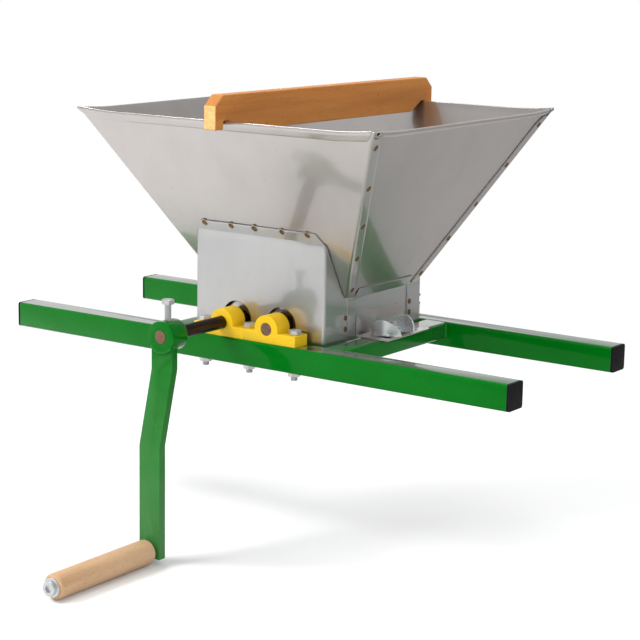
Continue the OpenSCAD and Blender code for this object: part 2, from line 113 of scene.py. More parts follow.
def islands(node):
    """Boxes (lowest, highest corner) of a node's separate solids, sorted by place."""
    bm = bmesh.new()
    bm.from_mesh(frame["nodes"][node].data)
    bmesh.ops.remove_doubles(bm, verts=bm.verts, dist=1e-6)
    seen, boxes = set(), []
    for start in bm.verts:
        if start in seen:
            continue
        group, stack = [], [start]
        seen.add(start)
        while stack:
            v = stack.pop()
            group.append(v.co / MM)
            for e in v.link_edges:
                w = e.other_vert(v)
                if w not in seen:
                    seen.add(w)
                    stack.append(w)
        boxes.append((Vector(map(min, zip(*group))), Vector(map(max, zip(*group)))))
    bm.free()
    return sorted(boxes, key=lambda b: (round(b[0].y), round(b[0].x)))


# ---------- materials ----------

class Nodes:
    """Small helper that builds a node tree around one Principled shader."""

    def __init__(self, name):
        self.material = bpy.data.materials.new(name)
        self.material.use_nodes = True
        self.tree = self.material.node_tree
        self.shader = self.tree.nodes["Principled BSDF"]
        self.place = self.add("ShaderNodeTexCoord").outputs["Object"]

    def add(self, kind, **settings):
        node = self.tree.nodes.new(kind)
        for key, value in settings.items():
            setattr(node, key, value)
        return node

    def link(self, source, target):
        if isinstance(source, (int, float)):
            target.default_value = source
        elif isinstance(source, (tuple, list)):
            target.default_value = (*source, 1.0) if len(source) == 3 else source
        else:
            self.tree.links.new(source, target)

    def stretch(self, x, y, z):
        mapping = self.add("ShaderNodeMapping")
        mapping.inputs["Scale"].default_value = (x, y, z)
        self.link(self.place, mapping.inputs["Vector"])
        return mapping.outputs["Vector"]

    def noise(self, scale, vector=None, detail=4.0, rough=0.55, distort=0.0):
        node = self.add("ShaderNodeTexNoise")
        node.inputs["Scale"].default_value = scale
        node.inputs["Detail"].default_value = detail
        node.inputs["Roughness"].default_value = rough
        node.inputs["Distortion"].default_value = distort
        self.link(vector or self.place, node.inputs["Vector"])
        return node.outputs["Fac"]

    def ramp(self, value, stops):
        """Values at positions; a value is a number or a colour."""
        node = self.add("ShaderNodeValToRGB")
        marks = node.color_ramp.elements
        while len(marks) < len(stops):
            marks.new(0.5)
        for mark, (at, what) in zip(marks, stops):
            mark.position = at
            mark.color = (what,) * 3 + (1,) if isinstance(what, (int, float)) else (*what, 1)
        self.link(value, node.inputs["Fac"])
        return node.outputs["Color"]

    def mix(self, share, a, b):
        node = self.add("ShaderNodeMix", data_type="RGBA")
        self.link(share, node.inputs[0])
        self.link(a, node.inputs[6])
        self.link(b, node.inputs[7])
        return node.outputs[2]

    def math(self, kind, a, b=0.0, c=0.5):
        node = self.add("ShaderNodeMath", operation=kind)
        self.link(a, node.inputs[0])
        self.link(b, node.inputs[1])
        self.link(c, node.inputs[2])
        return node.outputs[0]

    def normal(self, axis):
        """Part of the surface's own direction along an axis, without its sign."""
        split = self.add("ShaderNodeSeparateXYZ")
        self.link(self.add("ShaderNodeTexCoord").outputs["Normal"], split.inputs[0])
        return self.math("ABSOLUTE", split.outputs[axis])

    def edge(self, radius):
        """1 on edges and corners within a radius in millimetres, 0 on open faces."""
        bevel = self.add("ShaderNodeBevel", samples=4)
        bevel.inputs["Radius"].default_value = radius * MM
        dot = self.add("ShaderNodeVectorMath", operation="DOT_PRODUCT")
        self.link(bevel.outputs["Normal"], dot.inputs[0])
        self.link(self.add("ShaderNodeNewGeometry").outputs["True Normal"], dot.inputs[1])
        return self.ramp(dot.outputs["Value"], [(0.90, 1.0), (0.99, 0.0)])

    def along(self, direction):
        """How far a point lies along a direction, in metres."""
        dot = self.add("ShaderNodeVectorMath", operation="DOT_PRODUCT")
        self.link(self.place, dot.inputs[0])
        dot.inputs[1].default_value = direction
        return dot.outputs["Value"]

    def graze(self, start, full):
        """0 where the surface faces the viewer, 1 where it is seen at a grazing angle."""
        facing = self.add("ShaderNodeLayerWeight").outputs["Facing"]
        return self.ramp(facing, [(start, 0.0), (full, 1.0)])

    def bump(self, height, strength, distance):
        node = self.add("ShaderNodeBump")
        node.inputs["Strength"].default_value = strength
        node.inputs["Distance"].default_value = distance * MM
        self.link(height, node.inputs["Height"])
        if self.shader.inputs["Normal"].is_linked:
            self.link(self.shader.inputs["Normal"].links[0].from_socket, node.inputs["Normal"])
        self.link(node.outputs["Normal"], self.shader.inputs["Normal"])

    def set(self, **inputs):
        names = {"color": "Base Color", "rough": "Roughness", "metal": "Metallic", "coat": "Coat Weight",
                 "coat_rough": "Coat Roughness", "coat_ior": "Coat IOR", "specular": "Specular IOR Level",
                 "aniso": "Anisotropic", "sub": "Subsurface Weight", "tint": "Specular Tint"}
        for key, value in inputs.items():
            self.link(value, self.shader.inputs[names[key]])
        return self.material


def scaled(color, share):
    """A colour made darker or lighter."""
    return tuple(c * share for c in color)


def green_paint(name, painted_sheen):
    """Gloss enamel: slight orange peel, paler worn edges, a little dust, a clear coat that rises at low
    angles, and a base darkened towards grey at low angles (a painted reflection).
    With painted_sheen the paint also goes paler downwards, towards the grip, in patches: a painted sheen."""
    n = Nodes(name)
    worn = n.math("MULTIPLY", n.edge(0.9), n.ramp(n.noise(60, detail=3), [(0.35, 0.1), (0.65, 0.7)]))
    base = n.mix(n.noise(14), (0.0, 0.110, 0.004), (0.0, 0.160, 0.008))
    base = n.mix(worn, base, (0.03, 0.34, 0.06))
    # Painted sheen: paler paint downwards in patches, standing in for the hazy reflection on the crank arm
    if painted_sheen:
        sheen_patches = n.math("MULTIPLY_ADD", n.noise(45, detail=4), 0.08, n.along((0, 0, -1)))
        base = n.mix(n.ramp(sheen_patches, [(0.0, 0.0), (0.05, 0.25), (0.20, 0.9)]), base, (0.058, 0.205, 0.058))
    specks = n.ramp(n.noise(520, detail=2), [(0.70, 0.0), (0.76, 0.25)])
    base = n.mix(specks, base, (0.25, 0.40, 0.25))
    # Painted reflection: at low angles the base is darkened towards grey, so glancing faces such as the rail
    # tops read grey
    low = n.graze(0.50, 0.80)
    base = n.mix(n.math("MULTIPLY", low, 0.7), base, (0.03, 0.03, 0.03))
    n.bump(n.noise(330, detail=2), 0.10, 0.15)
    n.bump(n.noise(28, detail=2), 0.20, 0.5)
    return n.set(color=base, rough=n.ramp(n.noise(40), [(0.3, 0.16), (0.7, 0.26)]), coat_rough=0.04,
                 coat=n.ramp(low, [(0.0, 0.20), (1.0, 1.0)]), specular=0.25, tint=(0.02, 0.75, 0.10))


def stainless(name, tone, along, rough):
    """Rolled stainless sheet: faint grain along one axis, soft smudges, slight waviness."""
    n = Nodes(name)
    scale = [700.0, 700.0, 700.0]
    scale[along] = 9.0
    grain = n.noise(1.0, n.stretch(*scale), detail=3, rough=0.7)
    smudge = n.noise(8, detail=5, rough=0.6)
    cloud = n.noise(16, n.stretch(1.0, 1.0, 0.4), detail=3)
    base = n.ramp(cloud, [(0.30, scaled(tone, 0.93)), (0.5, tone), (0.72, scaled(tone, 1.05))])
    base = n.mix(n.math("MULTIPLY", grain, 0.10), base, scaled(tone, 0.75))
    spots = n.ramp(n.noise(120, detail=3), [(0.71, 0.0), (0.75, 0.35)])
    base = n.mix(spots, base, scaled(tone, 0.55))
    level = n.math("ADD", n.math("MULTIPLY", smudge, 0.14), n.math("MULTIPLY", grain, 0.05))
    n.bump(grain, 0.03, 0.03)
    n.bump(n.noise(5, detail=1), 0.35, 0.5)
    return n.set(color=base, metal=1.0, rough=n.math("ADD", level, rough - 0.10), aniso=0.2, coat=1.0,
                 coat_ior=2.1, coat_rough=n.ramp(smudge, [(0.3, 0.05), (0.7, 0.12)]))


def heat_tint():
    """Spot weld: a grey dimple, a brown ring and a straw halo that fades into the sheet."""
    n = Nodes("heat_tint")
    tint = n.add("ShaderNodeAttribute", attribute_name="tint").outputs["Fac"]
    wobble = n.math("ADD", tint, n.math("MULTIPLY", n.math("SUBTRACT", n.noise(600), 0.5), 0.22))
    base = n.ramp(wobble, [
        (0.0, (0.20, 0.17, 0.14)), (0.30, (0.26, 0.18, 0.12)), (0.46, (0.09, 0.045, 0.02)),
        (0.62, (0.16, 0.075, 0.028)), (0.76, (0.42, 0.28, 0.15)), (1.0, (0.53, 0.49, 0.45))])
    n.bump(n.noise(900), 0.3, 0.15)
    return n.set(color=base, metal=0.85, rough=n.ramp(wobble, [(0.3, 0.42), (0.6, 0.5), (1.0, 0.3)]))


def zinc(name, tone, metal=0.9, rough=0.0):
    """Bright zinc plate with a faint spangle and dull patches."""
    n = Nodes(name)
    cells = n.add("ShaderNodeTexVoronoi")
    cells.inputs["Scale"].default_value = 1100
    n.link(n.place, cells.inputs["Vector"])
    spangle = n.ramp(cells.outputs["Distance"], [(0.0, scaled(tone, 0.88)), (0.7, tone)])
    base = n.mix(n.math("MULTIPLY", n.noise(90), 0.5), spangle, scaled(tone, 0.64))
    n.bump(n.noise(700), 0.15, 0.12)
    dull = n.ramp(n.noise(60), [(0.3, 0.26 + rough), (0.7, 0.44 + rough)])
    return n.set(color=base, metal=metal, rough=dull)


def dark_steel():
    """Oiled mill-scale bar: streaks along the shaft, brown rust on the cut ends."""
    n = Nodes("dark_steel")
    streak = n.noise(1.0, n.stretch(260, 14, 260), detail=4)
    side = n.ramp(streak, [(0.30, (0.018, 0.012, 0.010)), (0.55, (0.050, 0.030, 0.022)),
                           (0.75, (0.110, 0.070, 0.050))])
    rust = n.ramp(n.noise(520, detail=6), [(0.35, (0.13, 0.065, 0.036)), (0.55, (0.18, 0.098, 0.060)),
                                           (0.75, (0.24, 0.150, 0.105))])
    end = n.ramp(n.normal(1), [(0.80, 0.0), (0.92, 1.0)])
    n.bump(n.noise(900, detail=5), 0.25, 0.12)
    return n.set(color=n.mix(end, side, rust), metal=n.ramp(end, [(0.0, 0.8), (1.0, 0.25)]),
                 rough=n.ramp(streak, [(0.3, 0.26), (0.7, 0.46)]))


def gear_steel():
    """Greased cut gear: turned rings on the faces, dark grease in patches."""
    n = Nodes("gear_steel")
    rings = n.noise(1.0, n.stretch(300, 40, 300), detail=3)
    grease = n.ramp(n.noise(110, detail=5), [(0.42, 0.0), (0.60, 1.0)])
    base = n.mix(grease, (0.20, 0.19, 0.18), (0.035, 0.030, 0.024))
    n.bump(rings, 0.2, 0.08)
    return n.set(color=base, metal=n.ramp(grease, [(0, 0.95), (1, 0.55)]),
                 rough=n.ramp(grease, [(0, 0.32), (1, 0.22)]))


def yellow_plastic():
    """Moulded nylon: slightly translucent, fine texture, grey scuffs."""
    n = Nodes("yellow_plastic")
    base = n.mix(n.noise(30), (0.74, 0.45, 0.003), (0.82, 0.54, 0.008))
    scuff = n.ramp(n.noise(160, detail=6, rough=0.7), [(0.62, 0.0), (0.70, 1.0)])
    base = n.mix(n.math("MULTIPLY", scuff, 0.35), base, (0.60, 0.37, 0.03))
    base = n.mix(n.math("MULTIPLY", n.edge(1.0), 0.5), base, (0.92, 0.68, 0.06))
    n.bump(n.noise(900, detail=2), 0.22, 0.12)
    n.bump(n.noise(60, detail=2), 0.2, 0.4)
    n.shader.inputs["Subsurface Radius"].default_value = (0.004, 0.002, 0.0005)
    return n.set(color=base, rough=n.ramp(n.noise(90), [(0.3, 0.36), (0.7, 0.50)]), sub=0.12)


def black_plastic():
    """Pressed-in plug: fine matt grain, a few pale rub marks, and paler edges that are rub wear and a painted
    highlight.
    """
    n = Nodes("black_plastic")
    rub = n.ramp(n.noise(1.0, n.stretch(40, 420, 420), detail=5), [(0.66, 0.0), (0.74, 1.0)])
    base = n.mix(n.math("MULTIPLY", rub, 0.35), (0.0035, 0.003, 0.004), (0.035, 0.035, 0.04))
    # Paler edges: rub wear and a painted highlight along the edges
    base = n.mix(n.math("MULTIPLY", n.edge(0.9), 0.6), base, (0.04, 0.04, 0.045))
    n.bump(n.noise(1400, detail=2), 0.35, 0.10)
    return n.set(color=base, rough=n.ramp(n.noise(300), [(0.3, 0.42), (0.7, 0.58)]), specular=0.14)


def wood(name, pale, mid, dark, end_grain_and_light, figure):
    """Beech along Y: soft growth bands, short dark flecks, and end grain with growth rings in colours given
    per wood; on the cross bar these end colours are painted light.
    """
    n = Nodes(name)
    along = n.stretch(1.0, 0.10, 1.0)
    band = n.noise(figure, along, detail=5, rough=0.6, distort=0.6)
    base = n.ramp(band, [(0.25, dark), (0.50, mid), (0.75, pale)])
    fleck = n.noise(1.0, n.stretch(1100, 90, 1100), detail=2)
    base = n.mix(n.ramp(fleck, [(0.60, 0.0), (0.72, 0.55)]), base, scaled(dark, 0.6))
    pore = n.noise(1.0, n.stretch(3200, 90, 3200), detail=1)
    base = n.mix(n.ramp(pore, [(0.60, 0.0), (0.72, 0.22)]), base, dark)
    speck = n.ramp(n.noise(210, detail=1), [(0.76, 0.0), (0.80, 0.8)])
    base = n.mix(speck, base, scaled(dark, 0.25))
    growth = n.noise(90, n.stretch(1.0, 1.0, 3.0), detail=4)
    # End grain colours: on the cross bar far paler than its side grain, a painted pool of light on its front
    # end
    rings = n.ramp(growth, [(0.35, end_grain_and_light[0]), (0.65, end_grain_and_light[1])])
    end = n.ramp(n.normal(1), [(0.72, 0.0), (0.90, 1.0)])
    n.bump(fleck, 0.12, 0.10)
    n.bump(pore, 0.10, 0.05)
    return n.set(color=n.mix(end, base, rings), rough=n.ramp(band, [(0.3, 0.52), (0.7, 0.64)]), specular=0.35)


STEEL_TONE = (0.57, 0.525, 0.505)
GREEN = green_paint("green_paint", False)
GREEN_ARM_SHEEN = green_paint("green_arm_painted_sheen", True)
STEEL_X = stainless("stainless_ends", STEEL_TONE, 2, 0.36)
STEEL_NECK = stainless("stainless_neck", (0.545, 0.54, 0.54), 0, 0.42)
# Painted shade: the steel of the side sheets, deflectors and brackets is a slightly darker copy of the end
# sheets' steel
STEEL_Y_SHADE = stainless("stainless_sides_painted_shade", scaled(STEEL_TONE, 0.95), 2, 0.34)
# Painted shade: the inner rear and left sheets use a darker copy of the same steel
STEEL_INNER_SHADE = stainless("stainless_inner_painted_shade", scaled(STEEL_TONE, 0.84), 2, 0.36)
STEEL_ROLLER = stainless("stainless_rollers", scaled(STEEL_TONE, 0.9), 1, 0.22)
TINT = heat_tint()
ZINC = zinc("zinc", (0.78, 0.79, 0.80))
BRIGHT_ZINC = zinc("bright_zinc", (0.92, 0.97, 0.98), 0.85, -0.04)
SHAFT = dark_steel()
GEAR = gear_steel()
YELLOW = yellow_plastic()
BLACK = black_plastic()
# The cross bar's end grain colours are painted light: far paler than its side grain, they stand in for light
# falling on the bar's front end
BAR_WOOD = wood("bar_wood", (0.56, 0.232, 0.058), (0.485, 0.188, 0.042), (0.39, 0.138, 0.027),
                ((0.92, 0.42, 0.155), (1.0, 0.56, 0.22)), 45)
GRIP_WOOD = wood("grip_wood", (0.62, 0.41, 0.25), (0.56, 0.355, 0.205), (0.46, 0.275, 0.145),
                 ((0.55, 0.34, 0.19), (0.66, 0.43, 0.26)), 40)


# ---------- mesh helpers ----------

def new_object(name, verts, faces):
    """A mesh object from points in millimetres, its faces turned outwards."""
    mesh = bpy.data.meshes.new(name)
    mesh.from_pydata([Vector(v) * MM for v in verts], [], faces)
    bm = bmesh.new()
    bm.from_mesh(mesh)
    bmesh.ops.recalc_face_normals(bm, faces=bm.faces)
    bm.to_mesh(mesh)
    bm.free()
    ob = bpy.data.objects.new(name, mesh)
    bpy.context.scene.collection.objects.link(ob)
    return ob


def piece(name, verts, faces, body, material, replaces=(), smooth=32):
    """Makes one piece from points in millimetres and lets it ride on a body."""
    ob = new_object(name, verts, faces)
    ob.data.materials.append(material)
    shade(ob, smooth)
    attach(ob, body)
    if replaces:
        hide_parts(*replaces)
    return ob


def shade(ob, angle):
    ob.data.polygons.foreach_set("use_smooth", [True] * len(ob.data.polygons))
    ob.data.set_sharp_from_angle(angle=math.radians(angle))


def apply(ob, kind, **settings):
    """Adds a modifier and applies it."""
    modifier = ob.modifiers.new(kind.lower(), kind)
    for key, value in settings.items():
        setattr(modifier, key, value)
    bpy.context.view_layer.objects.active = ob
    bpy.ops.object.modifier_apply(modifier=modifier.name)


def sheet_faces(points):
    """Quads between neighbouring (row, column) points."""
    index = {key: i for i, key in enumerate(points)}
    faces = []
    for r, c in points:
        quad = [(r, c), (r, c + 1), (r + 1, c + 1), (r + 1, c)]
        if all(k in index for k in quad):
            faces.append([index[k] for k in quad])
    return list(points.values()), faces


def sheet_metal(name, points, body, material, replaces):
    """A sheet of even thickness around its middle surface."""
    verts, faces = sheet_faces(points)
    ob = piece(name, verts, faces, body, material, replaces)
    apply(ob, "SOLIDIFY", thickness=SHEET * MM, offset=0, use_even_offset=True)
    apply(ob, "BEVEL", width=0.22 * MM, segments=2, limit_method="ANGLE", angle_limit=math.radians(60))
    shade(ob, 32)
    return ob


def mirror_y(points, about):
    return {key: (p[0], 2 * about - p[1], p[2]) for key, p in points.items()}


def mirror_x(points):
    return {key: (-p[0], p[1], p[2]) for key, p in points.items()}


def ripple(x, y, z, size, seed):
    """Slight dents of a hand-folded sheet; none where the neck's flanges lie against it."""
    calm = clamp((z - BASE - 25) / 40)
    return size * calm * noise.noise(Vector((x, y, z)) / 90 + Vector((seed, 3.7 * seed, 1.3)))


def band(a, b, steps):
    """Quads between two closed rings of vertices that start at numbers a and b."""
    turns = [(k, (k + 1) % steps) for k in range(steps)]
    return [[a + k, a + k1, b + k1, b + k] for k, k1 in turns]


def tube_faces(count, steps):
    """Faces of a closed tube of rings: the bands between them and a cap at each end."""
    faces = [quad for i in range(count - 1) for quad in band(i * steps, (i + 1) * steps, steps)]
    return faces + [list(range(steps))[::-1], [(count - 1) * steps + k for k in range(steps)]]


def turned(rows, steps):
    """Rings of points around Z from rows of (height, radius or radius at an angle)."""
    angles = [2 * math.pi * k / steps for k in range(steps)]
    verts = []
    for z, radius in rows:
        for a in angles:
            r = radius(a) if callable(radius) else radius
            verts.append((r * math.cos(a), r * math.sin(a), z))
    return verts


def revolve(rows, steps=48):
    """Closed body from rows along Z, capped at both ends."""
    return turned(rows, steps), tube_faces(len(rows), steps)


def ring(rows, bore, steps=48):
    """Closed ring from rows along Z, around a round bore."""
    loop = list(rows) + [(rows[-1][0], bore), (rows[0][0], bore)]
    starts = [i * steps for i in range(len(loop))]
    faces = [quad for a, b in zip(starts, starts[1:] + starts[:1]) for quad in band(a, b, steps)]
    return turned(loop, steps), faces


def hexagon(across):
    return lambda a: across / 2 / math.cos(a % (math.pi / 3) - math.pi / 6)


def hex_rows(across, z0, z1, both=False):
    """Rows of a hexagon whose corners are cut by a cone at the top, and at the bottom too if asked."""
    face, flat = across * 0.475, hexagon(across)
    cut = [0.0, 0.12, 0.3, 0.55, 0.85]
    rows = []

    def row(z, depth):
        rows.append((z, lambda a: min(flat(a), face + depth * 1.73)))
    if both:
        for d in cut:
            row(z0 + d, d)
    else:
        row(z0, 2.0)
    for d in cut[::-1]:
        row(z1 - d, d)
    return rows


def thread_rows(size, z0, z1, pitch=1.25, depth=0.62):
    """Rows of a screw thread, run out at both ends."""
    rows = []
    count = max(2, round((z1 - z0) / (pitch / 6)))
    for i in range(count + 1):
        z = z0 + (z1 - z0) * i / count
        fade = min(1.0, (z - z0) / pitch + 0.15, (z1 - z) / pitch + 0.15)

        def radius(a, z=z, fade=fade):
            share = (z / pitch - a / (2 * math.pi)) % 1
            return size / 2 - depth * fade * abs(2 * share - 1)
        rows.append((z, radius))
    return rows


def join(parts):
    """One mesh from several (verts, faces, place) parts; a place is a matrix in millimetres."""
    verts, faces = [], []
    for part_verts, part_faces, place in parts:
        base = len(verts)
        verts += [place @ Vector(v) for v in part_verts]
        faces += [[base + i for i in face] for face in part_faces]
    return verts, faces


def at(x, y, z, turn=0.0):
    return Matrix.Translation((x, y, z)) @ Matrix.Rotation(turn, 4, "Z")


def bead(path, radius, seed):
    """A weld bead along a path: overlapping ripples with rounded ends."""
    dense = []
    for a, b in zip(path, path[1:]):
        a, b = Vector(a), Vector(b)
        count = max(1, round((b - a).length / 0.5))
        dense += [a.lerp(b, i / count) for i in range(count)]
    dense.append(Vector(path[-1]))
    verts, steps = [], 10
    for i, p in enumerate(dense):
        ahead = (dense[min(i + 1, len(dense) - 1)] - dense[max(i - 1, 0)]).normalized()
        side = ahead.cross(UP if abs(ahead.z) < 0.9 else Vector((1, 0, 0))).normalized()
        over = side.cross(ahead)
        ends = min(1.0, (min(i, len(dense) - 1 - i) * 0.5 + 0.25) / radius)
        wave = 1 + 0.13 * abs(math.sin(i * 0.9 + seed)) + 0.22 * noise.noise(p / 4 + Vector((seed, 0, 0)))
        r = radius * math.sqrt(max(0.02, 1 - (1 - ends) ** 2)) * wave
        for k in range(steps):
            a = 2 * math.pi * k / steps
            verts.append(p + side * r * math.cos(a) + over * r * math.sin(a))
    return verts, tube_faces(len(dense), steps), Matrix.Identity(4)


# ---------- CAD nodes kept as they are, with softened edges ----------

def finish_node(name, material, width, segments=3, angle=30):
    ob = frame["nodes"][name]
    ob.data.materials.clear()
    ob.data.materials.append(material)
    ob.data.polygons.foreach_set("use_smooth", [True] * len(ob.data.polygons))
    weld = ob.modifiers.new("weld", "WELD")
    weld.merge_threshold = 2e-6
    flat = ob.modifiers.new("flat", "DECIMATE")
    flat.decimate_type = "DISSOLVE"
    flat.angle_limit = math.radians(0.5)
    bevel = ob.modifiers.new("bevel", "BEVEL")
    bevel.width = width * MM
    bevel.segments = segments
    bevel.limit_method = "ANGLE"
    bevel.angle_limit = math.radians(angle)
    bevel.harden_normals = True
    bevel.miter_outer = "MITER_ARC"


def keep_frame():
    for name in ("front_rail", "rear_rail", "left_crossmember", "right_crossmember"):
        finish_node(name, GREEN, 0.35)
    finish_node("crank_boss", GREEN, 0.9)
    finish_node("crank_arm", GREEN_ARM_SHEEN, 0.9)
    finish_node("rail_end_plugs", BLACK, 0.9)
    finish_node("rail_sleeves", ZINC, 0.3)
    for side in ("left", "right"):
        for end in ("front", "rear"):
            finish_node(f"{end}_{side}_bearing", YELLOW, 1.1, 4)
        finish_node(f"neck_{side}_deflector", STEEL_Y_SHADE, 0.15)
        finish_node(f"{side}_hold_down_washer", ZINC, 0.25)


def keep_rollers():
    for side in ("drive", "driven"):
        finish_node(f"{side}_shaft", SHAFT, 0.8)
        finish_node(f"{side}_drum", STEEL_ROLLER, 0.6)
        finish_node(f"{side}_blades", STEEL_ROLLER, 0.3, 2)
        finish_node(f"{side}_gear", GEAR, 0.4, 2)
        finish_node(f"{side}_gear_pin", ZINC, 0.4)
    finish_node("grip_washer", ZINC, 0.5)
    finish_node("grip_bolt", ZINC, 0.6)
    finish_node("crank_grip", GRIP_WOOD, 1.6, 5)
    finish_node("cross_bar", BAR_WOOD, 1.3, 4)


# ---------- hopper ----------

FRONT = Flat("hopper_front_panel", (0, 1, 0))
REAR = Flat("hopper_rear_panel", (0, -1, 0))
SIDE = Flat("hopper_right_panel", (-1, 0, 0))
MID_Y = (lo("hopper_front_panel").y + hi("hopper_rear_panel").y) / 2
RIM = hi("hopper_front_panel").z
BASE = lo("hopper_front_panel").z + HALF
LEAN_Y = FRONT.normal.z
TALL_Y = FRONT.normal.y
LEAN_X = SIDE.normal.z
TALL_X = -SIDE.normal.x

# Rim: radius of the roll, rows round the roll and down the hem, hem lengths, rise of the corners
CURL = 1.5
CURL_ROWS = 8
HEM_ROWS = 3
HEM_ENDS = 10.0
HEM_SIDES = 4.0
CORNER_RISE = 3.2


def clamp(value):
    return min(1.0, max(0.0, value))


def rim_rows():
    return range(1, CURL_ROWS + HEM_ROWS + 1)


def curl_row(z, out, lean, tall, k, hem):
    """Place (outwards, up) of row k of a rim that rolls outwards from a slope, then hangs down it."""
    turn = math.pi * min(k, CURL_ROWS) / CURL_ROWS
    down = max(0, k - CURL_ROWS) / HEM_ROWS
    along = CURL * math.sin(turn) - hem * down
    off = CURL * (1 - math.cos(turn)) - 1.4 * down
    return out + along * lean + off * tall, z + along * tall - off * lean


def pinch_corners(points, top):
    """Lifts the rim a little at its corners, along the corner edges, as hand folding leaves it."""
    reach, depth = 0.28, 60
    lifted = {}
    for key, (x, y, z) in points.items():
        u, v = x / SIDE.x(z), (y - MID_Y) / (MID_Y - FRONT.y(z))
        near = max(0.0, (min(abs(u), abs(v), 1.0) - 1 + reach) / reach) ** 2
        d = CORNER_RISE * near * clamp((z - top + depth) / depth)
        lifted[key] = (x + u * d * LEAN_X / TALL_X, y + v * d * LEAN_Y / TALL_Y, z + d)
    return lifted


def end_panel_points():
    """Middle surface of the front panel: seam flanges wrapped round both corners, hem rolled at the rim."""
    points = {}
    top = RIM - CURL - HALF + CURL * LEAN_Y
    rows, corner, flange, across, r, rounded = 30, 6, 4, 40, 2.6, 9
    spread = [1, 0.997] + [1 - 2 * k / across for k in range(1, across)] + [-0.997, -1]
    for i in range(rows + 1):
        z = BASE + (top - BASE) * i / rows
        y = FRONT.y(z) - HALF / TALL_Y
        x = SIDE.x(z) + (SHEET + PLAY + HALF) / TALL_X
        room = top - 4 - z
        width = SEAM + 0.9 * noise.noise(Vector((5.0, 18.5, z / 30))) - r
        if room < rounded:
            width *= math.sqrt(max(0.0, 1 - (1 - max(room, 0) / rounded) ** 2))
        edge = [(x, y + r + width * share) for share in (1, 0.75, 0.5, 0.04)]
        for k in range(corner + 1):
            a = math.pi / 2 * k / corner
            edge.append((x - r + r * math.cos(a), y + r - r * math.sin(a)))
        if room < 0:
            edge[:flange] = [None] * flange
        middle = []
        for u in spread[1:-1]:
            fade = min(1.0, 4 * (1 - abs(u)), i / 4, (rows - i) / 3)
            middle.append((u * (x - r), y - ripple(u * 200, 0, z, 0.9, 1.0) * fade * TALL_Y))
        other = [p and (-p[0], p[1]) for p in edge[::-1]]
        for col, p in enumerate(edge + middle + other):
            if p:
                points[i, col] = (*p, z)
    y = FRONT.y(top) - HALF / TALL_Y
    x = SIDE.x(top) + (SHEET + PLAY + HALF) / TALL_X
    for k in rim_rows():
        out, z = curl_row(top, -y, LEAN_Y, TALL_Y, k, HEM_ENDS)
        half = x - r + min(k, 3) * 0.5 - 3 * max(0, k - CURL_ROWS)
        for c, u in enumerate(spread, flange + corner):
            points[rows + k, c] = (u * half, -out, z)
    return pinch_corners(points, top)


def side_panel_points():
    """Middle surface of the right panel, its rim rolled outwards between the corners."""
    points = {}
    top = RIM - CURL - HALF + CURL * LEAN_X
    rows, across = 28, 40
    for i in range(rows + 1):
        z = BASE + 0.5 + (top - BASE - 0.5) * i / rows
        x = SIDE.x(z) + HALF / TALL_X
        y0, y1 = FRONT.y(z) + 0.7, REAR.y(z) - 0.7
        for k in range(across + 1):
            share = k / across
            y = y0 + (y1 - y0) * share
            fade = min(1.0, 5 * share, 5 * (1 - share), i / 5, (rows - i) / 3)
            points[i, k] = (x + ripple(0, y, z, 1.1, 2.0) * fade * TALL_X, y, z)
    y0, y1 = FRONT.y(top) + 0.7, REAR.y(top) - 0.7
    x = SIDE.x(top) + HALF / TALL_X
    for n in rim_rows():
        out, z = curl_row(top, x, LEAN_X, TALL_X, n, HEM_SIDES)
        for k in range(1, across):
            points[rows + n, k] = (out, y0 + (y1 - y0) * k / across, z)
    return pinch_corners(points, top)


def build_hopper():
    ends = end_panel_points()
    sides = side_panel_points()
    sheet_metal("front_panel_sheet", ends, "hopper", STEEL_X, ["hopper_front_panel"])
    sheet_metal("rear_panel_sheet", mirror_y(ends, MID_Y), "hopper", STEEL_INNER_SHADE, ["hopper_rear_panel"])
    sheet_metal("right_panel_sheet", sides, "hopper", STEEL_Y_SHADE, ["hopper_right_panel"])
    sheet_metal("left_panel_sheet", mirror_x(sides), "hopper", STEEL_INNER_SHADE, ["hopper_left_panel"])


# ---------- neck ----------

NECK_FRONT = Flat("neck_front_sheet", (0, -1, 0)).point.y
NECK_REAR = Flat("neck_rear_sheet", (0, 1, 0)).point.y
NECK_WALL = Flat("neck_right_sheet", (1, 0, 0)).point.x
NECK_X = hi("neck_front_sheet").x
NECK_FOOT = lo("neck_front_sheet").z
FLANGE = 13.0
SLOT_R = 21.0
DROP = SHEET + 0.15 + HALF


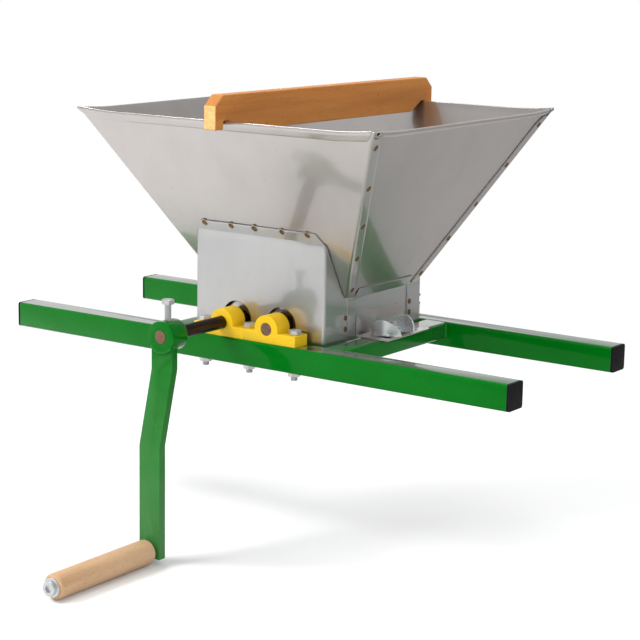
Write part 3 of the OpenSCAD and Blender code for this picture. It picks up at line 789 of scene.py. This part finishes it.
def neck_end_points(face_y, return_y, slope, out):
    """Middle surface of a neck end: returns on both sides, and a flange bent onto the sloping panel.
    out is -1 for the front end and 1 for the rear one."""
    points = {}
    r, side_cols, corner, across, rows = 2.4, 9, 6, 44, 16
    y = face_y - out * HALF
    x = NECK_X - HALF
    path = []
    for share in [k / side_cols for k in range(side_cols)] + [0.985]:
        path.append((x, return_y + (y - out * r - return_y) * share))
    for k in range(corner + 1):
        a = math.pi / 2 * k / corner
        path.append((x - r + r * math.cos(a), y - out * r + out * r * math.sin(a)))
    flat = [(x - r - 2 * (x - r) * k / across, y) for k in [0.1, *range(1, across), across - 0.1]]
    path = path + flat + [(-p[0], p[1]) for p in path[::-1]]

    def underside(at_y):
        """Height at which the neck's middle surface meets the panel's flange line."""
        z = slope.point.z - slope.normal.y * (at_y - slope.point.y) / slope.normal.z
        return z - DROP / slope.normal.z

    bend = underside(y)
    low = BASE - 1.0
    for c, (px, py) in enumerate(path):
        top = bend
        if abs(py - y) > 0.01:
            top = min(max(low, underside(py)), bend) - 0.25
        for i in range(rows + 1):
            points[i, c] = (px, py, NECK_FOOT + (top - NECK_FOOT) * i / rows)
    first, last = side_cols + 1 + corner, side_cols + corner + across + 3
    for k in range(1, 8):
        s = FLANGE * (k - 1) / 6 + 0.9
        narrowing = 1 - 0.55 * s / (x - r)
        for c in range(first, last + 1):
            points[rows + k, c] = (path[c][0] * narrowing, y + out * s * LEAN_Y, bend + s * TALL_Y)
    return points


def cut(ob, verts, faces, place):
    """Cuts a closed shape, placed by a matrix in millimetres, out of a piece."""
    cutter = new_object("cutter", [place @ Vector(v) for v in verts], faces)
    bpy.context.view_layer.update()
    apply(ob, "BOOLEAN", object=cutter, operation="DIFFERENCE", solver="EXACT")
    bpy.data.objects.remove(cutter)


def slots(ob, y):
    """Cuts the two open slots for the shafts: a round hole over a straight slot to the foot."""
    deep = 4
    hole = revolve([(-deep, SLOT_R), (deep, SLOT_R)], 64)
    for name in ("drive_spin", "driven_spin"):
        c = joint_at(name)
        place = Matrix.Translation((c.x, y, c.z))
        cut(ob, *hole, place @ Matrix.Rotation(math.pi / 2, 4, "X"))
        box = [(sx * SLOT_R, sy * deep, sz) for sx in (-1, 1) for sy in (-1, 1) for sz in (20 - c.z, 0)]
        sides = [[0, 1, 3, 2], [4, 6, 7, 5], [0, 4, 5, 1], [2, 3, 7, 6], [0, 2, 6, 4], [1, 5, 7, 3]]
        cut(ob, box, sides, place)
    shade(ob, 32)


def neck_side_points():
    """Middle surface of the right neck side: wall, bend, and a flange on the sloping side panel."""
    wall_x = NECK_WALL - HALF
    y0, y1 = lo("neck_right_sheet").y, hi("neck_right_sheet").y
    f0, f1 = FRONT.y(BASE) + SEAM + 1, min(REAR.y(BASE) - SEAM - 1, y1 - 10)
    fold = 1.6
    shelf = BASE - fold
    start = SIDE.x(shelf) + DROP / TALL_X
    wall = [(wall_x, NECK_FOOT + (shelf - fold - NECK_FOOT) * k / 12, y0, y1) for k in range(13)]
    bend = [(wall_x + 0.8 * (1 - math.cos(a)), shelf - fold + 1.2 * math.sin(a), f0, f1)
            for a in (math.pi / 8, math.pi / 4, 3 * math.pi / 8)]
    slope = [(start + s * LEAN_X + 0.3, shelf + s * TALL_X, f0, f1) for s in (0.6, 3.0, 5.5, 8.0, 10.5, 12.5)]
    cols = 36
    return {(i, c): (x, front + (rear - front) * c / cols, z)
            for i, (x, z, front, rear) in enumerate(wall + bend + slope) for c in range(cols + 1)}


def build_neck():
    front = neck_end_points(NECK_FRONT, hi("neck_front_sheet").y, FRONT, -1)
    rear = neck_end_points(NECK_REAR, lo("neck_rear_sheet").y, REAR, 1)
    ob = sheet_metal("neck_front_formed", front, "hopper", STEEL_NECK, ["neck_front_sheet"])
    slots(ob, NECK_FRONT)
    ob = sheet_metal("neck_rear_formed", rear, "hopper", STEEL_NECK, ["neck_rear_sheet"])
    slots(ob, NECK_REAR)
    side = neck_side_points()
    sheet_metal("neck_right_formed", side, "hopper", STEEL_NECK, ["neck_right_sheet"])
    sheet_metal("neck_left_formed", mirror_x(side), "hopper", STEEL_NECK, ["neck_left_sheet"])
    for name in ("left_hold_down_bracket", "right_hold_down_bracket"):
        finish_node(name, STEEL_Y_SHADE, 0.3)


# ---------- spot welds ----------

def spot(centre, normal, radius, verts, faces, tints):
    """A thin lens with a dimple, lying on the sheet."""
    side = normal.cross(UP if abs(normal.z) < 0.9 else Vector((1, 0, 0))).normalized()
    over = normal.cross(side)
    shares = [0.0, 0.25, 0.42, 0.55, 0.68, 0.84, 1.0]
    heights = [0.02, 0.03, 0.10, 0.24, 0.22, 0.08, 0.03]
    steps, base = 24, len(verts)
    stretch = 1 + rng.uniform(-0.12, 0.12)
    verts.append(centre + normal * heights[0])
    tints.append(shares[0])
    for share, height in zip(shares[1:], heights[1:]):
        for k in range(steps):
            a = 2 * math.pi * k / steps
            r = radius * share * (1 + 0.08 * math.sin(2 * a + stretch * 9) * share)
            verts.append(centre + side * r * math.cos(a) * stretch + over * r * math.sin(a) + normal * height)
            tints.append(share)
    low = len(verts)
    verts += [v - normal * 0.25 for v in verts[low - steps:]]
    tints += [1.0] * steps
    faces += [[base, base + 1 + k, base + 1 + (k + 1) % steps] for k in range(steps)]
    for start in range(base + 1, low, steps):
        faces += band(start, start + steps, steps)
    faces.append(list(range(low, low + steps)))


def build_spot_welds():
    """Spot welds along every seam flange of the hopper and neck."""
    verts, faces, tints = [], [], []
    side_out = Vector((TALL_X, 0, -LEAN_X))
    lift = 2 * SHEET + PLAY
    tall = RIM - BASE
    for share in (0.055, 0.26, 0.46, 0.69, 0.925):
        z = BASE + tall * share
        for end, inward in ((FRONT, 1), (REAR, -1)):
            here = Vector((SIDE.x(z), end.y(z) + inward * SEAM * 0.52, z)) + side_out * lift
            for flip in (1, -1):
                spot(Vector((here.x * flip, here.y + rng.uniform(-1, 1), here.z)),
                     Vector((side_out.x * flip, 0, side_out.z)), 4.6, verts, faces, tints)
    f0, f1 = FRONT.y(BASE) + SEAM + 1, REAR.y(BASE) - SEAM - 1
    for share in (0.03, 0.32, 0.62, 0.93):
        z = BASE + 4.5
        for flip in (1, -1):
            here = Vector((SIDE.x(z), f0 + (f1 - f0) * share, z)) + side_out * (lift + 0.05)
            spot(Vector((here.x * flip, here.y, here.z)), Vector((side_out.x * flip, 0, side_out.z)),
                 4.4, verts, faces, tints)
    for end, sign in ((FRONT, 1), (REAR, -1)):
        face_y = NECK_FRONT if sign == 1 else NECK_REAR
        out = Vector((0, -TALL_Y * sign, -LEAN_Y))
        z = end.point.z - end.normal.y * (face_y - end.point.y) / end.normal.z + FLANGE * 0.42
        for share in (0.07, 0.29, 0.48, 0.70, 0.90):
            here = Vector(((share - 0.5) * 2 * (NECK_X - 4), end.y(z), z)) + out * (lift + 0.05)
            spot(here, out, 4.4, verts, faces, tints)
        seam_y = (hi("neck_front_sheet").y - 5) if sign == 1 else (lo("neck_rear_sheet").y + 5)
        for height in (16, 29):
            for flip in (1, -1):
                spot(Vector((NECK_X * flip, seam_y, NECK_FOOT + height)), Vector((flip, 0, 0)),
                     4.2, verts, faces, tints)
    ob = piece("spot_welds", verts, faces, "hopper", TINT, smooth=40)
    attribute = ob.data.attributes.new("tint", "FLOAT", "POINT")
    attribute.data.foreach_set("value", tints)


# ---------- fasteners ----------

def hex_head(top, place, turned_place):
    """Hexagon head under a height, with the round collar that it seats on."""
    foot = top - HEAD
    return [(*revolve(hex_rows(HEX, foot + 0.35, top)), turned_place),
            (*revolve([(foot, COLLAR_R), (foot + 0.4, COLLAR_R)]), place)]


def build_bearing_bolts():
    """Bolts with a plain shank above and a thread below, and the nuts under the rails."""
    parts, nuts = [], []
    thread_top = 9
    for low, high in islands("bearing_bolts"):
        c = (low + high) / 2
        place, turned_place = at(c.x, c.y, 0), at(c.x, c.y, 0, rng.uniform(0, math.pi / 3))
        parts += hex_head(high.z, place, turned_place)
        shank = [(thread_top - 1, M8 / 2), (high.z - HEAD + 0.2, M8 / 2)]
        parts.append((*revolve(shank, 24), place))
        tip = [(low.z, M8 / 2 - 1.0), (low.z + 0.7, M8 / 2 - 0.3)]
        parts.append((*revolve(tip + thread_rows(M8, low.z + 0.8, thread_top), 24), turned_place))
    verts, faces = join(parts)
    piece("bearing_bolts_threaded", verts, faces, "frame", ZINC, ["bearing_bolts"])
    for low, high in islands("bearing_nuts"):
        c = (low + high) / 2
        nut = ring(hex_rows(HEX, low.z, high.z, True), M8 / 2 + 0.03)
        nuts.append((*nut, at(c.x, c.y, 0, rng.uniform(0, 1))))
    verts, faces = join(nuts)
    piece("bearing_nuts_chamfered", verts, faces, "frame", ZINC, ["bearing_nuts"])


def build_clamp_bolt():
    """Fully threaded bolt that clamps the boss to the shaft."""
    low, high = lo("crank_clamp_bolt"), hi("crank_clamp_bolt")
    c = (low + high) / 2
    place = at(c.x, c.y, 0)
    rows = [(low.z, 3.0), (low.z + 1, 3.8)] + thread_rows(M8, low.z + 1.1, high.z - HEAD + 0.1)
    parts = hex_head(high.z, place, at(c.x, c.y, 0, 0.35)) + [(*revolve(rows, 30), place)]
    verts, faces = join(parts)
    piece("clamp_bolt_threaded", verts, faces, "drive", ZINC, ["crank_clamp_bolt"])


def build_studs():
    """Threaded studs for the thumb nuts, one on each crossmember."""
    parts = []
    for low, high in islands("hold_down_studs"):
        c = (low + high) / 2
        rows = thread_rows(M8, low.z, high.z - 1.1) + [(high.z - 0.7, 3.6), (high.z, 2.9)]
        parts.append((*revolve(rows, 30), at(c.x, c.y, 0)))
    verts, faces = join(parts)
    piece("hold_down_studs_threaded", verts, faces, "frame", ZINC, ["hold_down_studs"])


def grid_faces(rows, cols, start=0):
    """Quads of a grid of (rows + 1) by (cols + 1) vertices."""
    wide = cols + 1
    corners = [start + i * wide + k for i in range(rows) for k in range(cols)]
    return [[a, a + 1, a + wide + 1, a + wide] for a in corners]


def lobe(radius, tall, sign):
    """One cupped lobe: a curved half disc that leans slightly inwards at its top."""
    cols, rows, thick, lean = 28, 12, 1.9, 1.3
    span = math.radians(57)
    outer, inner = [], []
    for i in range(rows + 1):
        for k in range(cols + 1):
            a = (2 * k / cols - 1) * span
            limit = tall * math.sqrt(max(0.0, 1 - (math.sin(a) / math.sin(span)) ** 2))
            z = 0.25 + (limit - 0.25) * i / rows if limit > 0.25 else 0.25 * i / rows
            r = radius - lean * (z / tall) ** 2
            outer.append((r * math.sin(a), sign * r * math.cos(a), z))
            inner.append(((r - thick) * math.sin(a), sign * (r - thick) * math.cos(a), z))
    count, wide = len(outer), cols + 1
    faces = grid_faces(rows, cols) + [q[::-1] for q in grid_faces(rows, cols, count)]
    right, left = range(2 * wide - 1, count, wide), range((rows - 1) * wide, 0, -wide)
    rim = [*range(wide), *right, *range(count - 2, rows * wide - 1, -1), *left]
    faces += [[b, a, count + a, count + b] for a, b in zip(rim, rim[1:] + rim[:1])]
    return outer + inner, faces


def strip(reach):
    """The flat strip between the lobes: wider and slightly raised where it turns up into them."""
    steps, half, thick = 16, 8.0, 1.9
    top, bottom = [], []
    for k in range(steps + 1):
        y = -reach + 2 * reach * k / steps
        rise = 0.9 * math.exp(-((abs(y) - reach) / 5) ** 2)
        x = half * (1 + 0.25 * (y / reach) ** 2)
        top += [(-x, y, thick + rise), (x, y, thick + rise)]
        bottom += [(-x, y, 0.05), (x, y, 0.05)]
    m = len(top)
    faces = [[0, m, m + 1, 1], [m - 2, m - 1, 2 * m - 1, 2 * m - 2]]
    for a in range(0, 2 * steps, 2):
        faces += [[a, a + 1, a + 3, a + 2], [m + a, m + a + 2, m + a + 3, m + a + 1],
                  [a, a + 2, m + a + 2, m + a], [a + 1, m + a + 1, m + a + 3, a + 3]]
    return top + bottom, faces


def build_thumb_nut(side):
    """Pressed nut: two upturned lobes joined by a strip, around a threaded hub."""
    node = f"{side}_thumb_nut"
    low, high = lo(node), hi(node)
    c = (low + high) / 2
    radius, tall = (high.y - low.y) / 2, high.z - low.z
    hub = [(0.1, 7.9), (2.2, 7.6), (3.4, 7.0), (7.4, 6.9), (8.0, 6.3)]
    shapes = [lobe(radius, tall, -1), lobe(radius, tall, 1), strip(radius - 0.9), ring(hub, M8 / 2 + 0.06)]
    verts, faces = join([(*shape, at(c.x, c.y, low.z)) for shape in shapes])
    ob = piece(f"{side}_thumb_nut_pressed", verts, faces, f"{side}_nut", BRIGHT_ZINC, [node])
    bpy.context.view_layer.update()
    apply(ob, "BEVEL", width=0.35 * MM, segments=2, limit_method="ANGLE", angle_limit=math.radians(50))
    shade(ob, 38)


# ---------- welds ----------

def build_crank_welds():
    """Fillet welds where the flat bar meets the boss."""
    boss_lo, boss_hi = lo("crank_boss"), hi("crank_boss")
    arm_lo, arm_hi = lo("crank_arm"), hi("crank_arm")
    axis = joint_at("drive_spin")
    r = (boss_hi.x - boss_lo.x) / 2
    half = (arm_hi.x - arm_lo.x) / 2
    front, back = boss_lo.y + 2, boss_lo.y + 12
    parts = []
    for y, push in ((front, -0.4), (back, 0.4)):
        path = []
        for k in range(-10, 11):
            x = half * 0.96 * k / 10
            path.append((axis.x + x, y + push, axis.z - math.sqrt(r * r - x * x) - 0.4))
        parts.append(bead(path, 2.0, y))
    for sign in (-1, 1):
        x = sign * half
        z = axis.z - math.sqrt(r * r - half * half) - 0.3
        parts.append(bead([(axis.x + x, front + 0.3, z), (axis.x + x, back - 0.3, z)], 1.9, sign * 3.0))
    verts, faces = join(parts)
    piece("crank_weld_beads", verts, faces, "drive", GREEN, smooth=60)


def build_frame_welds():
    """Fillet welds where the crossmembers meet the rails."""
    parts = []
    front_y, rear_y = hi("front_rail").y, lo("rear_rail").y
    for side in ("left", "right"):
        low, high = lo(f"{side}_crossmember"), hi(f"{side}_crossmember")
        for y, inward in ((front_y, 0.5), (rear_y, -0.5)):
            for x, out in ((low.x, -0.4), (high.x, 0.4)):
                upright = [(x + out, y + inward, z) for z in (low.z + 2, high.z - 2)]
                parts.append(bead(upright, 1.9, x + y))
            under = [(x, y + inward, low.z - 0.3) for x in (low.x + 2, high.x - 2)]
            parts.append(bead(under, 1.8, y))
    verts, faces = join(parts)
    piece("frame_weld_beads", verts, faces, "frame", GREEN, smooth=60)


# ---------- surroundings ----------

def build_floor():
    """Plain pale floor just under the crank. Away from the object the camera sees it fade to white, and
    reflections see it pale in front and greyer behind."""
    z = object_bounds()[0].z - 0.001
    mesh = bpy.data.meshes.new("floor")
    size = 40
    corners = [(-size, -size), (size, -size), (size, size), (-size, size)]
    mesh.from_pydata([(x, y, z) for x, y in corners], [], [(0, 1, 2, 3)])
    floor = bpy.data.objects.new("floor", mesh)
    bpy.context.scene.collection.objects.link(floor)
    n = Nodes("floor")
    path = n.add("ShaderNodeLightPath").outputs["Is Camera Ray"]
    ahead = n.along((-0.65, -0.76, 0))
    seen = n.ramp(n.math("MULTIPLY_ADD", ahead, 0.5), [(0.15, 0.40), (0.62, 0.64)])
    n.set(color=n.mix(path, seen, (0.94, 0.94, 0.945)), rough=0.8, specular=0.1)
    far = n.add("ShaderNodeVectorMath", operation="LENGTH")
    n.link(n.place, far.inputs[0])
    fade = n.ramp(n.math("MULTIPLY", far.outputs["Value"], 0.2), [(0.06, 0.0), (0.30, 1.0)])
    white = n.add("ShaderNodeEmission")
    blend = n.add("ShaderNodeMixShader")
    n.link(n.math("MULTIPLY", fade, path), blend.inputs[0])
    n.link(n.shader.outputs[0], blend.inputs[1])
    n.link(white.outputs[0], blend.inputs[2])
    n.link(blend.outputs[0], n.tree.nodes["Material Output"].inputs["Surface"])
    mesh.materials.append(n.material)


def sky_glow(tree, place, toward, start, full, low, high):
    """Brightness that rises from low to high as a direction nears the given one."""
    dot = tree.nodes.new("ShaderNodeVectorMath")
    dot.operation = "DOT_PRODUCT"
    dot.inputs[1].default_value = Vector(toward).normalized()
    ramp = tree.nodes.new("ShaderNodeMapRange")
    ramp.interpolation_type = "SMOOTHSTEP"
    for key, value in zip(("From Min", "From Max", "To Min", "To Max"), (start, full, low, high)):
        ramp.inputs[key].default_value = value
    tree.links.new(place.outputs["Generated"], dot.inputs[0])
    tree.links.new(dot.outputs["Value"], ramp.inputs["Value"])
    return ramp.outputs["Result"]


def build_world():
    """Soft white surroundings: brightest low in front and behind on the left, greyer overhead."""
    world = bpy.data.worlds.new("studio")
    bpy.context.scene.world = world
    world.use_nodes = True
    tree = world.node_tree
    place = tree.nodes.new("ShaderNodeTexCoord")
    ahead = sky_glow(tree, place, (-0.55, -0.80, -0.10), 0.45, 0.95, 0.50, 1.05)
    behind = sky_glow(tree, place, (-0.57, 0.81, 0.15), 0.80, 0.98, 0.0, 0.30)
    both = tree.nodes.new("ShaderNodeMath")
    both.operation = "ADD"
    path = tree.nodes.new("ShaderNodeLightPath")
    pick = tree.nodes.new("ShaderNodeMix")
    pick.inputs["B"].default_value = 1.0
    tree.links.new(ahead, both.inputs[0])
    tree.links.new(behind, both.inputs[1])
    tree.links.new(path.outputs["Is Camera Ray"], pick.inputs["Factor"])
    tree.links.new(both.outputs[0], pick.inputs["A"])
    tree.links.new(pick.outputs["Result"], tree.nodes["Background"].inputs["Strength"])
    tree.nodes["Background"].inputs["Color"].default_value = (1.0, 1.0, 1.0, 1.0)


def area_light(name, place, aim, size, power, reflected):
    data = bpy.data.lights.new(name, "AREA")
    data.shape = "RECTANGLE"
    data.size, data.size_y = size
    data.energy = power
    light = bpy.data.objects.new(name, data)
    light.location = place
    light.rotation_euler = (Vector(aim) - Vector(place)).to_track_quat("-Z", "Y").to_euler()
    light.visible_glossy = reflected
    bpy.context.scene.collection.objects.link(light)


def build_camera():
    """Camera at the photograph's angle, aimed at the middle of the crusher."""
    yaw, pitch, roll, distance = (math.radians(35.1), math.radians(11.4), math.radians(1.0), 2.295)
    aim = Vector((0.0152, 0.1184, 0.0345))
    forward = Vector((-math.sin(yaw) * math.cos(pitch), math.cos(yaw) * math.cos(pitch), -math.sin(pitch)))
    right = forward.cross(UP).normalized()
    up = right.cross(forward)
    tilted = right * math.cos(roll) + up * math.sin(roll)
    above = up * math.cos(roll) - right * math.sin(roll)
    camera = bpy.data.objects.new("camera", bpy.data.cameras.new("camera"))
    camera.data.sensor_width = 36
    camera.data.lens = 108.12
    camera.data.clip_end = 60
    camera.matrix_world = Matrix.Translation(aim - forward * distance) @ Matrix(
        (tilted, above, -forward)).transposed().to_4x4()
    bpy.context.scene.collection.objects.link(camera)
    bpy.context.scene.camera = camera


keep_frame()
keep_rollers()
build_hopper()
build_neck()
build_spot_welds()
build_bearing_bolts()
build_clamp_bolt()
build_studs()
for side in ("left", "right"):
    build_thumb_nut(side)
build_crank_welds()
build_frame_welds()
build_floor()
build_world()
area_light("key", (-1.7, -2.0, 2.2), (0, 0.1, 0.1), (1.6, 1.6), 95, False)
area_light("side", (2.0, -0.9, 1.1), (0, 0.1, 0.1), (1.4, 1.4), 24, False)
area_light("edge", (-1.24, 1.0, 1.67), (0, 0.1, 0.1), (0.5, 0.5), 8, True)
area_light("top", (0.2, 0.5, 2.4), (0, 0.1, 0.1), (1.2, 1.2), 22, True)
build_camera()
bpy.context.scene.view_settings.view_transform = "Standard"
